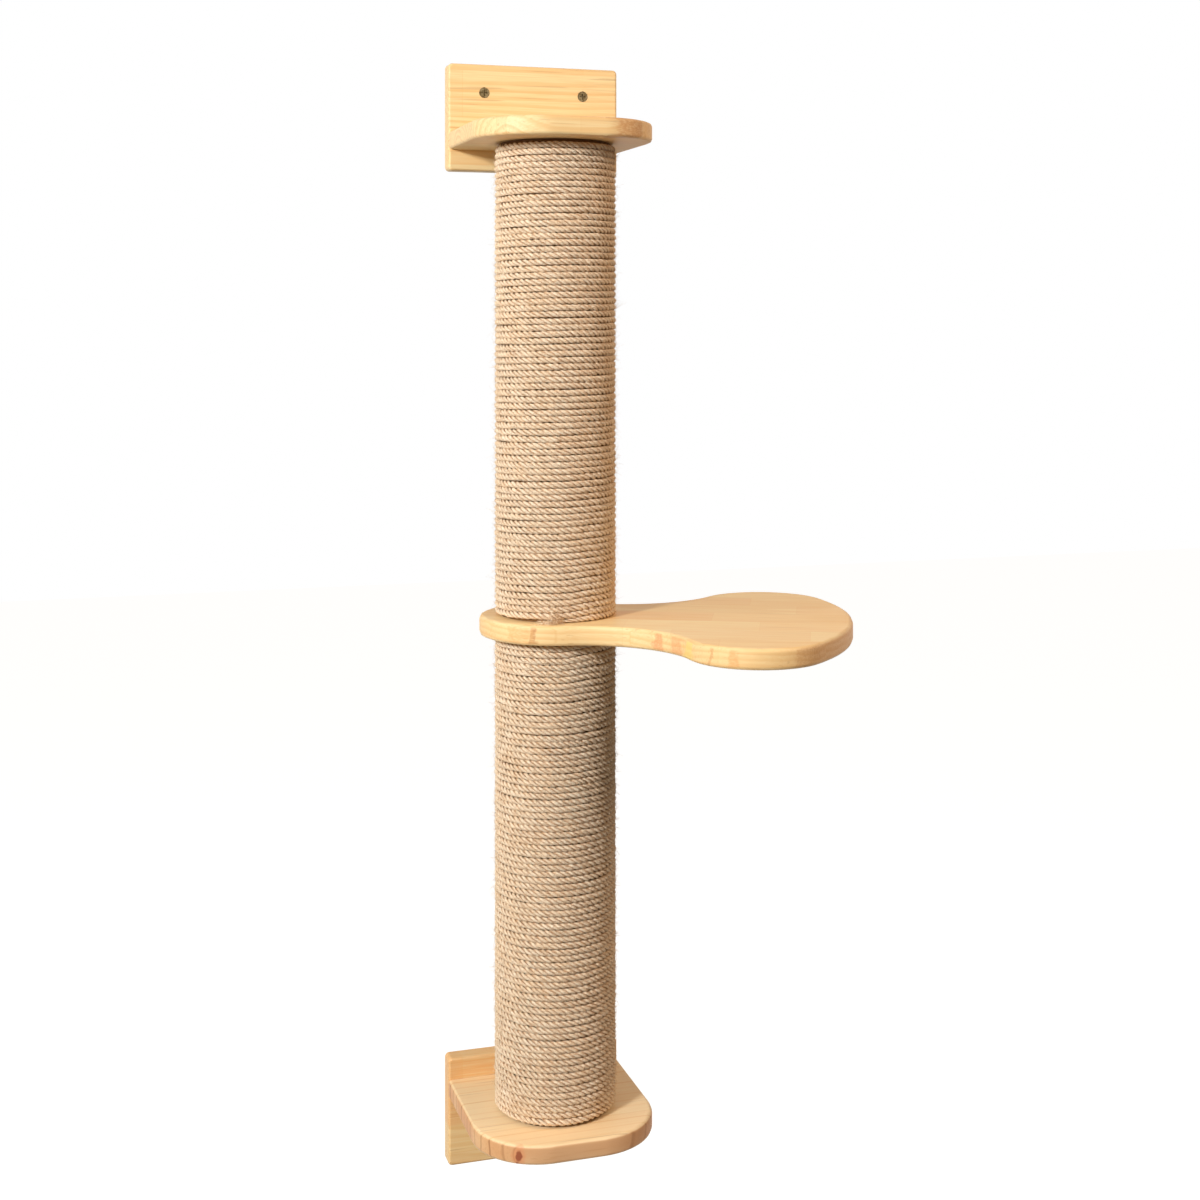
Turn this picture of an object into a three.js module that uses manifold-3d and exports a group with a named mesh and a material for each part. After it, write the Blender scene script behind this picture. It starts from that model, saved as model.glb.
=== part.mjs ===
// A wall mounted scratching post with one step. Two equal brackets, each a wall plate with a
// rounded shelf, hold two rope wound columns, and a fan shaped step is clamped between the columns.
// Millimetres. X runs along the wall, Y into the wall and Z up. The origin is the centre of the
// top wall plate's back face.
import * as THREE from 'three';
import { mergeVertices } from 'three/addons/utils/BufferGeometryUtils.js';
import Module from 'manifold-3d';

const wasm = await Module();
wasm.setup();

// ---- Driving dimensions ----

// The gap that pieces which touch keep between them.
const seatGap = 0.3;

// Wall plates.
const plateWidth = 168;
const plateHeight = 102;
const plateThickness = 18;
const plateCornerRadius = 4;
const plateEdgeRound = 2;
const wallScrewFromPlateEnd = 35;
const wallScrewFromOuterEdge = 27;

// Shelves. The bearing face is the one that a column butts against.
const shelfDepth = 157;
const shelfThickness = 17;
const shelfCornerRadius = 62;
const shelfEdgeRound = 3;
const shelfBearingFromPlateEdge = 20;
const shelfScrewFromShelfEnd = 29;

// Columns.
const columnLength = 433;
const columnFromPlate = 75;
const tubeOuterRadius = 50;
const tubeWall = 5;
const plugThickness = 18;

// Rope windings. Each loop of the winding is a flat band that stands for three turns of the rope.
const ropeThickness = 6;
const ropeEndGap = 2.5;
const windingLoops = 24;
const windingLoopGap = 0.7;
const windingStepsPerLoop = 15;
const windingCorner = 2.2;

// Step. Its outline is a nose round the column, two hollow waists and a wide far end.
const stepThickness = 18;
const stepNoseRadius = 70;
const stepReach = 272;
const stepCornerRadius = 62;
const stepHalfAngleDeg = 26.5;
const stepWaistRadius = 94;
const stepEdgeRound = 3.5;
const stepHeadingDeg = -24.4;

// Fasteners. A screw's head is countersunk, with a short rim above its cone.
const wallScrew = { headRadius: 5, shankRadius: 2.5, rim: 0.5, length: 45, tip: 7, recess: 6 };
const shelfScrew = { headRadius: 4.5, shankRadius: 2.2, rim: 0.5, length: 42, tip: 6, recess: 5 };
const screwHeadSink = 0.4;
const recessWidth = 1.3;
const recessDepth = 1.8;
const threadRadius = 4;
const boltHeadAcrossFlats = 13;
const boltHeadHeight = 5.3;
const washerRadius = 12;
const washerThickness = 1.6;
const threadEngagement = 12;
const insertRadius = 6;
const insertLength = 15;
const insertFlangeRadius = 8.5;
const insertFlangeThickness = 1.5;

// Facets.
const boardArcSteps = 10;
const plateArcSteps = 2;
const edgeRoundSteps = 2;
const columnSides = 48;
const smallSides = 16;
const screwSides = 12;

// ---- Derived sizes and places ----

const columnY = -(plateThickness + columnFromPlate);
const bearingZ = -plateHeight / 2 + shelfBearingFromPlateEdge;
const stepTopZ = bearingZ - columnLength;
const bottomPlateZ = 2 * stepTopZ - stepThickness;
const upperColumnZ = bearingZ - columnLength / 2;
const lowerColumnZ = stepTopZ - stepThickness - columnLength / 2;
const tubeLength = columnLength - 2 * seatGap;
const tubeInnerRadius = tubeOuterRadius - tubeWall;
const boltHoleRadius = threadRadius + seatGap;
const overrun = 5;

// ---- Materials ----

const pine = { color: 0xe6bf85, roughness: 0.55, metalness: 0 };
const plugWood = { color: 0xd3ab73, roughness: 0.7, metalness: 0 };
const rope = { color: 0xc6a379, roughness: 0.95, metalness: 0 };
const cardboard = { color: 0xa9865c, roughness: 0.9, metalness: 0 };
const darkSteel = { color: 0x4d4b46, roughness: 0.45, metalness: 0.9 };
const zincSteel = { color: 0xb9bcbf, roughness: 0.35, metalness: 0.95 };

function piece(name, geometry, look) {
  const mesh = new THREE.Mesh(geometry, new THREE.MeshStandardMaterial(look));
  mesh.name = name;
  return mesh;
}

// ---- Solids and cuts ----

// Shared corners are merged, and the flat triangles that this leaves on an axis are dropped.
function weld(geometry) {
  const bare = geometry.clone();
  bare.deleteAttribute('normal');
  bare.deleteAttribute('uv');
  const merged = mergeVertices(bare, 1e-4);
  const corners = merged.index.array;
  const kept = [];
  for (let i = 0; i < corners.length; i += 3) {
    const [a, b, c] = [corners[i], corners[i + 1], corners[i + 2]];
    if (a !== b && b !== c && c !== a) kept.push(a, b, c);
  }
  merged.setIndex(kept);
  return merged;
}

function toSolid(geometry) {
  const welded = weld(geometry);
  return new wasm.Manifold(new wasm.Mesh({
    numProp: 3,
    vertProperties: new Float32Array(welded.attributes.position.array),
    triVerts: new Uint32Array(welded.index.array),
  }));
}

function toGeometry(solid) {
  const mesh = solid.getMesh();
  const geometry = new THREE.BufferGeometry();
  geometry.setAttribute('position', new THREE.BufferAttribute(mesh.vertProperties, 3));
  geometry.setIndex(new THREE.BufferAttribute(mesh.triVerts, 1));
  geometry.computeVertexNormals();
  return geometry;
}

function cut(geometry, tools) {
  const solid = tools.reduce((left, tool) => left.subtract(toSolid(tool)), toSolid(geometry));
  return toGeometry(solid);
}

function join(geometry, others) {
  const solid = others.reduce((sum, other) => sum.add(toSolid(other)), toSolid(geometry));
  return toGeometry(solid);
}

function lathe(profile, sides) {
  return weld(new THREE.LatheGeometry(profile.map(([r, y]) => new THREE.Vector2(r, y)), sides));
}

// A round bar, washer or tube from z = low to z = high, with a bore unless it is zero.
function ringAlongZ(outerRadius, boreRadius, low, high, sides) {
  const profile = [[boreRadius, low], [outerRadius, low], [outerRadius, high], [boreRadius, high]];
  if (boreRadius > 0) profile.push([boreRadius, low]);
  return lathe(profile, sides).rotateX(Math.PI / 2);
}

// A board from z = 0 to z = thickness, whose edges are rounded over inside the outline.
function board(outline, thickness, edgeRound, arcSteps) {
  const geometry = new THREE.ExtrudeGeometry(outline, {
    depth: thickness - 2 * edgeRound,
    bevelEnabled: true,
    bevelThickness: edgeRound,
    bevelSize: edgeRound,
    bevelOffset: -edgeRound,
    bevelSegments: edgeRoundSteps,
    curveSegments: arcSteps,
  });
  return geometry.translate(0, 0, edgeRound);
}

// ---- Screws ----

// The head's face is at y = 0 and the point at y = length. A grown screw is its own hole.
function screwBody(screw, grow, headOverrun) {
  const neck = screw.rim + screw.headRadius - screw.shankRadius;
  const head = screw.headRadius + grow;
  const shank = screw.shankRadius + grow;
  const end = screw.length + grow;
  const profile = [
    [0, -headOverrun],
    [head, -headOverrun],
    [head, screw.rim],
    [shank, neck],
    [shank, end - screw.tip],
    [shank / 4, end],
    [0, end],
  ];
  return lathe(profile, screwSides);
}

function screwSolid(screw) {
  const slot = new THREE.BoxGeometry(screw.recess, 2 * recessDepth, recessWidth);
  const cross = [slot, slot.clone().rotateY(Math.PI / 2)];
  return cut(screwBody(screw, 0, 0), cross);
}

// Wall screws enter the plate's front face, and shelf screws its back face.
const wallScrewPlace = new THREE.Matrix4().makeTranslation(0, -plateThickness + screwHeadSink, 0);
const shelfScrewPlace = new THREE.Matrix4()
  .makeTranslation(0, -screwHeadSink, 0)
  .multiply(new THREE.Matrix4().makeRotationX(Math.PI));

function placed(geometry, place, x, z) {
  return geometry.clone().applyMatrix4(place).translate(x, 0, z);
}

// ---- Brackets ----

const wallScrewZ = plateHeight / 2 - wallScrewFromOuterEdge;
const wallScrewXs = [-1, 1].map((side) => side * (plateWidth / 2 - wallScrewFromPlateEnd));
const shelfScrewZ = bearingZ + shelfThickness / 2;
const shelfScrewXs = [-1, 0, 1].map((side) => side * (plateWidth / 2 - shelfScrewFromShelfEnd));

function screwHoles() {
  const wallHole = screwBody(wallScrew, seatGap, overrun);
  const shelfHole = screwBody(shelfScrew, seatGap, overrun);
  return {
    wall: wallScrewXs.map((x) => placed(wallHole, wallScrewPlace, x, wallScrewZ)),
    shelf: shelfScrewXs.map((x) => placed(shelfHole, shelfScrewPlace, x, shelfScrewZ)),
  };
}

function roundedRectangle(width, height, radius) {
  const [x, y] = [width / 2 - radius, height / 2 - radius];
  const outline = new THREE.Shape();
  outline.absarc(x, -y, radius, -Math.PI / 2, 0);
  outline.absarc(x, y, radius, 0, Math.PI / 2);
  outline.absarc(-x, y, radius, Math.PI / 2, Math.PI);
  outline.absarc(-x, -y, radius, Math.PI, 1.5 * Math.PI);
  outline.closePath();
  return outline;
}

function wallPlate(holes) {
  const outline = roundedRectangle(plateWidth, plateHeight, plateCornerRadius);
  const slab = board(outline, plateThickness, plateEdgeRound, plateArcSteps);
  slab.rotateX(Math.PI / 2);
  return cut(slab, [...holes.wall, ...holes.shelf]);
}

// The shelf's back edge stays square, so the outline runs on past the plate and is sawn off there.
function shelf(holes) {
  const side = plateWidth / 2;
  const backY = -plateThickness - seatGap;
  const frontY = -plateThickness - shelfDepth;
  const cornerX = side - shelfCornerRadius;
  const cornerY = frontY + shelfCornerRadius;
  const outline = new THREE.Shape();
  outline.moveTo(-side, backY + overrun);
  outline.lineTo(-side, cornerY);
  outline.absarc(-cornerX, cornerY, shelfCornerRadius, Math.PI, 1.5 * Math.PI);
  outline.absarc(cornerX, cornerY, shelfCornerRadius, 1.5 * Math.PI, 2 * Math.PI);
  outline.lineTo(side, backY + overrun);
  outline.closePath();
  const slab = board(outline, shelfThickness, shelfEdgeRound, boardArcSteps);
  slab.translate(0, 0, bearingZ);
  const saw = new THREE.BoxGeometry(2 * plateWidth, 2 * overrun, 2 * plateHeight);
  saw.translate(0, backY + overrun, 0);
  const boltHole = ringAlongZ(boltHoleRadius, 0, bearingZ - overrun, overrun, smallSides);
  boltHole.translate(0, columnY, 0);
  return cut(slab, [saw, boltHole, ...holes.shelf]);
}

const washerLow = bearingZ + shelfThickness + seatGap;
const washerHigh = washerLow + washerThickness;
const boltHeadLow = washerHigh + seatGap;
const boltTip = bearingZ - seatGap - threadEngagement;

function hexHeadBolt() {
  const headRadius = boltHeadAcrossFlats / 2 / Math.cos(Math.PI / 6);
  const head = new THREE.CylinderGeometry(headRadius, headRadius, boltHeadHeight, 6);
  head.rotateX(Math.PI / 2).translate(0, 0, boltHeadLow + boltHeadHeight / 2);
  const shank = ringAlongZ(threadRadius, 0, boltTip, boltHeadLow + 1, smallSides);
  return join(shank, [head]);
}

// A bracket in its own frame: the origin is the centre of the plate's back face, and the shelf's
// bearing face looks down. The bottom bracket is the same one turned over about Y.
function bracket(prefix, turnedOver) {
  const group = new THREE.Group();
  const holes = screwHoles();
  const sideNames = turnedOver ? ['right', 'left'] : ['left', 'right'];
  const wallScrewShape = screwSolid(wallScrew);
  const shelfScrewShape = screwSolid(shelfScrew);
  group.add(piece(`${prefix}_wall_plate`, wallPlate(holes), pine));
  group.add(piece(`${prefix}_shelf`, shelf(holes), pine));
  wallScrewXs.forEach((x, i) => {
    const shape = placed(wallScrewShape, wallScrewPlace, x, wallScrewZ);
    group.add(piece(`${prefix}_wall_screw_${sideNames[i]}`, shape, darkSteel));
  });
  shelfScrewXs.forEach((x, i) => {
    const shape = placed(shelfScrewShape, shelfScrewPlace, x, shelfScrewZ);
    const name = [sideNames[0], 'middle', sideNames[1]][i];
    group.add(piece(`${prefix}_shelf_screw_${name}`, shape, zincSteel));
  });
  const washer = piece(
    `${prefix}_column_washer`,
    ringAlongZ(washerRadius, boltHoleRadius, washerLow, washerHigh, smallSides),
    zincSteel,
  );
  const bolt = piece(`${prefix}_column_bolt`, hexHeadBolt(), zincSteel);
  washer.position.y = columnY;
  bolt.position.y = columnY;
  group.add(washer, bolt);
  if (turnedOver) group.rotation.y = Math.PI;
  return group;
}

// ---- Columns ----

// One threaded insert, its flange at z = 0 and its barrel below. A grown insert cuts its own seat.
function threadedInsert() {
  const profile = [
    [boltHoleRadius, 0],
    [boltHoleRadius, -insertLength],
    [insertRadius, -insertLength],
    [insertRadius, -insertFlangeThickness],
    [insertFlangeRadius, -insertFlangeThickness],
    [insertFlangeRadius, 0],
    [boltHoleRadius, 0],
  ];
  return lathe(profile, smallSides).rotateX(Math.PI / 2);
}

function endPlug() {
  const disc = ringAlongZ(tubeInnerRadius - seatGap, 0, -plugThickness, 0, columnSides);
  const flangeDepth = insertFlangeThickness + 2 * seatGap;
  const flangeSeat = ringAlongZ(insertFlangeRadius + seatGap, 0, -flangeDepth, overrun, smallSides);
  const barrelHole = ringAlongZ(
    insertRadius + seatGap, 0, -plugThickness - overrun, overrun, smallSides,
  );
  return cut(disc, [flangeSeat, barrelHole]);
}

// The winding is one unbroken flat band that climbs the tube, right handed, from the bottom. Its
// ends are one rope high. Each loop lies on the one before it, the first and the last fill up to
// the winding's flat ends, and the inner corners clear the tube also halfway between two of them.
const windingInnerRadius = (tubeOuterRadius + seatGap) / Math.cos(Math.PI / windingStepsPerLoop);
const windingOuterRadius = tubeOuterRadius + ropeThickness;
const windingHeight = columnLength - 2 * ropeEndGap;
const windingClimb = windingHeight - 2 * ropeThickness - windingLoopGap;
const windingPitch = windingClimb / (windingLoops - 1);
const windingSteps = windingLoops * windingStepsPerLoop;

// How high the band's top edge lies at a step, before the last loop fills up.
function bandTop(step) {
  return ropeThickness + (windingPitch * step) / windingStepsPerLoop - windingHeight / 2;
}

function bandEdges(step) {
  const firstLoop = step < windingStepsPerLoop - 1;
  const lastLoop = step > windingSteps - windingStepsPerLoop + 1;
  const below = bandTop(step - windingStepsPerLoop) + windingLoopGap;
  return {
    low: firstLoop ? -windingHeight / 2 : below,
    high: lastLoop ? windingHeight / 2 : bandTop(step),
  };
}

// The band's section at one step, as pairs of radius and height. It goes once round.
function bandSection(step) {
  const { low, high } = bandEdges(step);
  const shoulder = windingOuterRadius - windingCorner;
  return [
    [windingInnerRadius, low],
    [shoulder, low],
    [windingOuterRadius, low + windingCorner],
    [windingOuterRadius, high - windingCorner],
    [shoulder, high],
    [windingInnerRadius, high],
  ];
}

// Each ring holds the section's corners at one step. The first and last rings are pushed straight
// out along the band, so both ends run straight for one rope thickness.
function windingRings() {
  const ring = (step, along) => bandSection(step).map(([radius, z]) => {
    const angle = (2 * Math.PI * step) / windingStepsPerLoop;
    const [c, s] = [Math.cos(angle), Math.sin(angle)];
    return new THREE.Vector3(radius * c - along * s, radius * s + along * c, z);
  });
  const rings = [ring(0, -ropeThickness)];
  for (let step = 0; step <= windingSteps; step += 1) rings.push(ring(step, 0));
  rings.push(ring(windingSteps, ropeThickness));
  return rings;
}

function winding() {
  const rings = windingRings();
  const sides = rings[0].length;
  const corners = rings.flat().flatMap((p) => [p.x, p.y, p.z]);
  const triangles = [];
  for (let r = 0; r + 1 < rings.length; r += 1) {
    for (let i = 0; i < sides; i += 1) {
      const [a, b] = [r * sides + i, r * sides + ((i + 1) % sides)];
      triangles.push(a, a + sides, b, b, a + sides, b + sides);
    }
  }
  const last = (rings.length - 1) * sides;
  for (let i = 1; i + 1 < sides; i += 1) {
    triangles.push(0, i, i + 1, last, last + i + 1, last + i);
  }
  const geometry = new THREE.BufferGeometry();
  geometry.setAttribute('position', new THREE.Float32BufferAttribute(corners, 3));
  geometry.setIndex(triangles);
  geometry.computeVertexNormals();
  return geometry;
}

// The least gap between one loop and the next, measured between the corners of the rings that lie
// up to one step apart on neighbouring loops.
function leastWindingGap() {
  const rings = windingRings();
  let least = Infinity;
  for (let r = 0; r + windingStepsPerLoop - 1 < rings.length; r += 1) {
    for (const shift of [-1, 0, 1]) {
      const next = rings[r + windingStepsPerLoop + shift] ?? [];
      for (const p of rings[r]) for (const q of next) least = Math.min(least, p.distanceTo(q));
    }
  }
  return least;
}

function column(prefix) {
  const group = new THREE.Group();
  const half = tubeLength / 2;
  const tube = ringAlongZ(tubeOuterRadius, tubeInnerRadius, -half, half, columnSides);
  group.add(piece(`${prefix}_tube`, tube, cardboard));
  for (const [end, sign] of [['top', 1], ['bottom', -1]]) {
    const plug = piece(`${prefix}_plug_${end}`, endPlug(), plugWood);
    const insert = piece(`${prefix}_insert_${end}`, threadedInsert(), zincSteel);
    insert.position.z = -seatGap;
    const fitting = new THREE.Group();
    fitting.add(plug, insert);
    fitting.position.z = sign * half;
    if (sign < 0) fitting.rotation.x = Math.PI;
    group.add(fitting);
  }
  group.add(piece(`${prefix}_rope_wrap`, winding(), rope));
  return group;
}

// ---- Step ----

// All arcs meet tangentially. The far end is an arc about the column, and each hollow waist is an
// arc that touches both the nose and a far corner.
function stepOutline() {
  const halfAngle = THREE.MathUtils.degToRad(stepHalfAngleDeg);
  const cornerDistance = stepReach - stepCornerRadius;
  const toNose = stepNoseRadius + stepWaistRadius;
  const toCorner = stepCornerRadius + stepWaistRadius;
  const along = (cornerDistance ** 2 + toNose ** 2 - toCorner ** 2) / (2 * cornerDistance);
  const waistAngle = halfAngle + Math.acos(along / toNose);
  const corner = new THREE.Vector2(cornerDistance, 0).rotateAround(new THREE.Vector2(), halfAngle);
  const waist = new THREE.Vector2(toNose, 0).rotateAround(new THREE.Vector2(), waistAngle);
  const cornerSeen = corner.clone().sub(waist).angle();
  const outline = new THREE.Shape();
  outline.absarc(0, 0, stepNoseRadius, waistAngle, 2 * Math.PI - waistAngle);
  outline.absarc(
    waist.x, -waist.y, stepWaistRadius, Math.PI - waistAngle, 2 * Math.PI - cornerSeen, true,
  );
  outline.absarc(corner.x, -corner.y, stepCornerRadius, Math.PI - cornerSeen, -halfAngle);
  outline.absarc(0, 0, stepReach, -halfAngle, halfAngle);
  outline.absarc(corner.x, corner.y, stepCornerRadius, halfAngle, cornerSeen - Math.PI);
  outline.absarc(
    waist.x, waist.y, stepWaistRadius, cornerSeen, Math.PI + waistAngle, true,
  );
  outline.closePath();
  return outline;
}

function stepBoard() {
  const slab = board(stepOutline(), stepThickness, stepEdgeRound, boardArcSteps);
  const hole = ringAlongZ(boltHoleRadius, 0, -overrun, stepThickness + overrun, smallSides);
  return cut(slab, [hole]);
}

// ---- Assembly ----

const tower = new THREE.Group();
tower.add(bracket('top', false));

const bottomBracket = bracket('bottom', true);
bottomBracket.position.z = bottomPlateZ;
tower.add(bottomBracket);

for (const [prefix, z] of [['upper', upperColumnZ], ['lower', lowerColumnZ]]) {
  const post = column(prefix);
  post.position.set(0, columnY, z);
  tower.add(post);
}

const step = piece('step_board', stepBoard(), pine);
step.position.set(0, columnY, stepTopZ - stepThickness);
step.rotation.z = THREE.MathUtils.degToRad(stepHeadingDeg);
tower.add(step);

const studReach = stepThickness / 2 + threadEngagement;
const stud = ringAlongZ(threadRadius, 0, -studReach, studReach, smallSides);
const centreStud = piece('centre_stud', stud, zincSteel);
centreStud.position.set(0, columnY, stepTopZ - stepThickness / 2);
tower.add(centreStud);

console.log(`least gap between the winding's loops: ${leastWindingGap().toFixed(2)} mm`);

export default tower;
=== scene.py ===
"""Looks for a wall mounted cat tree: two rope-wound columns, pine brackets and a pine step."""

import math

import bpy
import numpy as np
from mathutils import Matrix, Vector


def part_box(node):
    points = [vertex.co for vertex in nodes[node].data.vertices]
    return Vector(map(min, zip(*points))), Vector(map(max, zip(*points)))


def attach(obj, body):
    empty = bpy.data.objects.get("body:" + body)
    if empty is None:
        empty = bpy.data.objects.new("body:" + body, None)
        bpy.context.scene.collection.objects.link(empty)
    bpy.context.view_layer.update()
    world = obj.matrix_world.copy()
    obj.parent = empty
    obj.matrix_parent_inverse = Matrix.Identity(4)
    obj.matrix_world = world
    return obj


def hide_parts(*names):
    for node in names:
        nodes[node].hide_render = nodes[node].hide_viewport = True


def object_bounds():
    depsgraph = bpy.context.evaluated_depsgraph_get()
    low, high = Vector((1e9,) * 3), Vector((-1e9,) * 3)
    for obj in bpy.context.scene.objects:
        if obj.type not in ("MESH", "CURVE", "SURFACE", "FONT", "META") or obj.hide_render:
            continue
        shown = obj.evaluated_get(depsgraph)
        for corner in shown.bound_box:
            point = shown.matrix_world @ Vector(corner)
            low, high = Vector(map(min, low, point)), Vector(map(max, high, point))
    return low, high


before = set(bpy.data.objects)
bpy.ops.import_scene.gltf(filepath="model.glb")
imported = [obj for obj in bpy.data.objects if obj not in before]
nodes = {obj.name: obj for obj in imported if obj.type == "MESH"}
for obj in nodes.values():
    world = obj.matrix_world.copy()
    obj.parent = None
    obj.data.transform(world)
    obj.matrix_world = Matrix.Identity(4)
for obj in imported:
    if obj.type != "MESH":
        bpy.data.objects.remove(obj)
cad_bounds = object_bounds()

MM = 0.001

# ---------------------------------------------------------------- camera, stage and light

IMAGE_PX = 1200
HORIZON_PX = 324  # row of the photograph at the camera's eye level
SENSOR_MM = 36.0
LENS_MM = 52.3
CAMERA_PLACE = (-0.4404, -1.6409, -0.197)
CAMERA_TURN_DEG = -17.35  # from straight at the wall towards +X
FLOOR_HEIGHT = -1.5
FLOOR_SIZE = 14.0
# Each light: azimuth and elevation in degrees seen from the object, distance, size, level and
# colour. Level 1 shows a surface that faces the light in its written colour.
LIGHTS = {
    "key": (-145.0, 22.0, 2.4, 0.3, 0.85, (1.0, 1.0, 1.0)),
    "side": (-178.0, 20.0, 2.4, 1.2, 0.22, (1.0, 0.95, 0.88)),
    "fill": (-30.0, 40.0, 2.0, 0.8, 0.4, (1.0, 0.72, 0.5)),
}
AMBIENT_DARK, AMBIENT_BRIGHT = 0.06, 0.3
AMBIENT_FROM = (-0.3, -0.2, 0.93)
AMBIENT_COLOR = (1.0, 0.82, 0.66)
FLOOR_SHADE = 0.4  # how much of the floor's white the object's shadow can take away


def make_camera():
    data = bpy.data.cameras.new("camera")
    data.sensor_width = SENSOR_MM
    data.lens = LENS_MM
    data.shift_y = HORIZON_PX / IMAGE_PX - 0.5
    data.clip_start, data.clip_end = 0.05, 60.0
    camera = bpy.data.objects.new("camera", data)
    camera.location = CAMERA_PLACE
    camera.rotation_euler = (math.radians(90), 0, math.radians(CAMERA_TURN_DEG))
    bpy.context.scene.collection.objects.link(camera)
    bpy.context.scene.camera = camera


def make_light(name, azimuth, elevation, distance, size, level, color):
    """A square soft light that looks at the middle of the object."""
    data = bpy.data.lights.new(name, "AREA")
    data.shape, data.size, data.color = "SQUARE", size, color
    data.energy = level * (math.pi * distance) ** 2
    light = bpy.data.objects.new(name, data)
    turn, rise = math.radians(azimuth), math.radians(elevation)
    way = Vector((math.cos(turn) * math.cos(rise), math.sin(turn) * math.cos(rise), math.sin(rise)))
    light.location = (cad_bounds[0] + cad_bounds[1]) / 2 + way * distance
    light.rotation_mode = "QUATERNION"
    light.rotation_quaternion = (-way).to_track_quat("-Z", "Y")
    bpy.context.scene.collection.objects.link(light)


# ---------------------------------------------------------------- node helpers


class Nodes:
    """A node tree with short calls for the nodes that the materials share."""

    def __init__(self, tree):
        self.tree = tree
        tree.nodes.clear()

    def add(self, kind, *inputs, **settings):
        """A node of that kind; inputs are values or sockets in order, None leaves one alone."""
        node = self.tree.nodes.new("ShaderNode" + kind)
        for key, value in settings.items():
            setattr(node, key, value)
        for socket, value in zip(node.inputs, inputs):
            self.put(socket, value)
        return node

    def put(self, socket, value):
        if isinstance(value, bpy.types.NodeSocket):
            self.tree.links.new(value, socket)
        elif value is not None:
            socket.default_value = value

    def math(self, operation, *inputs):
        return self.add("Math", *inputs, operation=operation).outputs[0]

    def vector(self, operation, *inputs):
        node = self.add("VectorMath", *inputs, operation=operation)
        scalar = operation in ("DOT_PRODUCT", "LENGTH", "DISTANCE")
        return node.outputs["Value" if scalar else "Vector"]

    def mix(self, factor, a, b):
        """A colour from a at factor 0 to b at factor 1."""
        node = self.add("Mix", data_type="RGBA")
        for key, value in (("Factor", factor), ("A", a), ("B", b)):
            socket = next(s for s in node.inputs if s.name == key and s.enabled)
            self.put(socket, (*value, 1) if isinstance(value, tuple) else value)
        return next(s for s in node.outputs if s.enabled)

    def span(self, value, low, high, to_low=0.0, to_high=1.0, smooth=True):
        """value from low..high, mapped to to_low..to_high and held at the ends."""
        node = self.add("MapRange", value, low, high, to_low, to_high)
        node.interpolation_type = "SMOOTHSTEP" if smooth else "LINEAR"
        return node.outputs[0]

    def noise(self, vector, scale, detail=2.0, roughness=0.5):
        node = self.add("TexNoise", noise_dimensions="3D")
        self.put(node.inputs["Vector"], vector)
        for key, value in (("Scale", scale), ("Detail", detail), ("Roughness", roughness)):
            self.put(node.inputs[key], value)
        return node.outputs["Fac"]

    def random(self, value):
        node = self.add("TexWhiteNoise", noise_dimensions="1D")
        self.put(node.inputs["W"], value)
        return node.outputs["Value"]

    def finish(self, shader):
        output = self.add("OutputMaterial")
        self.put(output.inputs["Surface"], shader)


def new_material(name):
    material = bpy.data.materials.new(name)
    material.use_nodes = True
    return material, Nodes(material.node_tree)


def principled(n, color, roughness, normal=None, metallic=0.0, specular=0.5):
    node = n.add("BsdfPrincipled")
    n.put(node.inputs["Base Color"], color)
    n.put(node.inputs["Roughness"], roughness)
    n.put(node.inputs["Metallic"], metallic)
    n.put(node.inputs["Specular IOR Level"], specular)
    if normal is not None:
        n.put(node.inputs["Normal"], normal)
    return node


def bump(n, height, distance, strength=1.0):
    node = n.add("Bump")
    n.put(node.inputs["Strength"], strength)
    n.put(node.inputs["Distance"], distance)
    n.put(node.inputs["Height"], height)
    return node.outputs["Normal"]


def linear(r, g, b):
    """A colour picked as 0 to 255 screen values, in the linear values that shaders take."""
    return tuple(
        c / 12.92 if c <= 0.04045 else ((c + 0.055) / 1.055) ** 2.4
        for c in (r / 255, g / 255, b / 255)
    )


def behind_all(n):
    """1 where a ray shows the background: straight to the camera, mirrored or through glass."""
    path = n.add("LightPath")
    seen = n.math("MAXIMUM", path.outputs["Is Camera Ray"], path.outputs["Is Glossy Ray"])
    return n.math("MAXIMUM", seen, path.outputs["Is Transmission Ray"])


def make_world():
    world = bpy.data.worlds.new("world")
    world.use_nodes = True
    n = Nodes(world.node_tree)
    way = n.add("TexCoord").outputs["Generated"]
    side = n.vector("DOT_PRODUCT", way, Vector(AMBIENT_FROM).normalized())
    soft = n.span(side, -0.7, 1.0, AMBIENT_DARK, AMBIENT_BRIGHT)
    behind = behind_all(n)
    color = n.mix(behind, AMBIENT_COLOR, (1, 1, 1))
    background = n.add("Background", color, n.math("MAXIMUM", soft, behind))
    output = n.add("OutputWorld")
    n.put(output.inputs["Surface"], background.outputs[0])
    bpy.context.scene.world = world


def make_floor():
    """A pale floor that keeps the object's shadow and meets the white background."""
    half = FLOOR_SIZE / 2
    mesh = bpy.data.meshes.new("floor")
    corners = [(-half, -half), (half, -half), (half, half), (-half, half)]
    mesh.from_pydata([(x, y, FLOOR_HEIGHT) for x, y in corners], [], [(0, 1, 2, 3)])
    floor = bpy.data.objects.new("floor", mesh)
    bpy.context.scene.collection.objects.link(floor)
    material, n = new_material("floor")
    diffuse = n.add("BsdfDiffuse", (FLOOR_SHADE, FLOOR_SHADE, FLOOR_SHADE, 1))
    glow = n.add("Emission", (1, 1, 1, 1), n.math("MULTIPLY", behind_all(n), 1 - FLOOR_SHADE / 4))
    both = n.add("AddShader", diffuse.outputs[0], glow.outputs[0])
    n.finish(both.outputs[0])
    mesh.materials.append(material)


# ---------------------------------------------------------------- pine

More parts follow.
